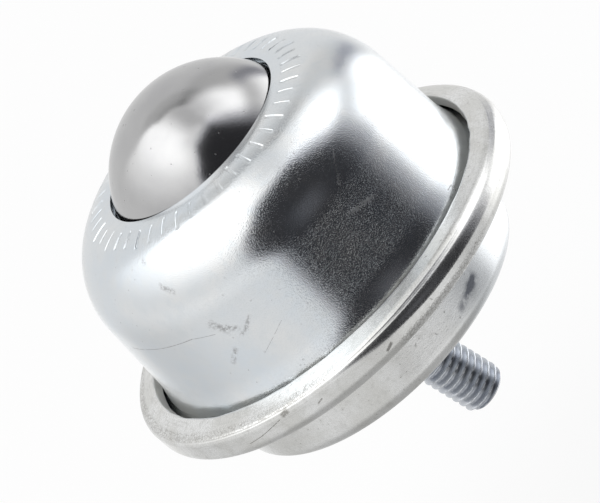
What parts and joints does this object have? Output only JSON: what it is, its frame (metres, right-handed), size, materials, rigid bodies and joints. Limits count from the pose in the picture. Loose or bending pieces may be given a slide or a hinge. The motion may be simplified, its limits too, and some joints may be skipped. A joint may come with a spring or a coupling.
{
  "type": "ball castor",
  "caption": "Stud-mounted ball castor: a polished steel ball rolls any way on a bed of small balls, in a zinc-plated pressed housing with a crimped rim.",
  "frame": {"origin": "centre of the base cup's underside, where the housing seats", "axes": "+Z along the housing's axis, from the stud to the ball; the stud leans towards +X"},
  "size_m": [0.0528, 0.0528, 0.055],
  "materials": {
    "ball_steel": "polished steel with a soft sheen",
    "seat_steel": "turned and hardened",
    "small_ball_steel": "ground and polished",
    "dome_zinc": "bright clear zinc plate, lightly marked",
    "cup_zinc": "dull clear zinc plate with crimp marks",
    "stud_zinc": "bright blue zinc plate"
  },
  "bodies": {
    "housing": {"base_cup": "cup_zinc", "dome_cover": "dome_zinc", "ball_seat": "seat_steel", "threaded_stud": "stud_zinc"},
    "support_balls": {"support_ball_01": "small_ball_steel", "support_ball_02": "small_ball_steel", "support_ball_03": "small_ball_steel", "support_ball_04": "small_ball_steel", "support_ball_05": "small_ball_steel", "support_ball_06": "small_ball_steel", "support_ball_07": "small_ball_steel", "support_ball_08": "small_ball_steel", "support_ball_09": "small_ball_steel", "support_ball_10": "small_ball_steel", "support_ball_11": "small_ball_steel", "support_ball_12": "small_ball_steel", "support_ball_13": "small_ball_steel", "support_ball_14": "small_ball_steel", "support_ball_15": "small_ball_steel", "support_ball_16": "small_ball_steel", "support_ball_17": "small_ball_steel", "support_ball_18": "small_ball_steel", "support_ball_19": "small_ball_steel", "support_ball_20": "small_ball_steel", "support_ball_21": "small_ball_steel", "support_ball_22": "small_ball_steel", "support_ball_23": "small_ball_steel", "support_ball_24": "small_ball_steel", "support_ball_25": "small_ball_steel", "support_ball_26": "small_ball_steel", "support_ball_27": "small_ball_steel", "support_ball_28": "small_ball_steel", "support_ball_29": "small_ball_steel", "support_ball_30": "small_ball_steel", "support_ball_31": "small_ball_steel", "support_ball_32": "small_ball_steel", "support_ball_33": "small_ball_steel", "support_ball_34": "small_ball_steel", "support_ball_35": "small_ball_steel", "support_ball_36": "small_ball_steel", "support_ball_37": "small_ball_steel", "support_ball_38": "small_ball_steel", "support_ball_39": "small_ball_steel", "support_ball_40": "small_ball_steel", "support_ball_41": "small_ball_steel", "support_ball_42": "small_ball_steel", "support_ball_43": "small_ball_steel", "support_ball_44": "small_ball_steel", "support_ball_45": "small_ball_steel", "support_ball_46": "small_ball_steel", "support_ball_47": "small_ball_steel", "support_ball_48": "small_ball_steel", "support_ball_49": "small_ball_steel", "support_ball_50": "small_ball_steel", "support_ball_51": "small_ball_steel"},
    "main_ball": {"main_ball": "ball_steel"}
  },
  "joints": [
    {"name": "bed_turn", "type": "hinge", "parent": "housing", "child": "support_balls", "pos_m": [0, 0, 0.02671], "axis": [0, 0, 1], "continuous": true},
    {"name": "ball_roll", "type": "hinge", "parent": "support_balls", "child": "main_ball", "pos_m": [0, 0, 0.02671], "axis": [1, 0, 0], "continuous": true}
  ]
}
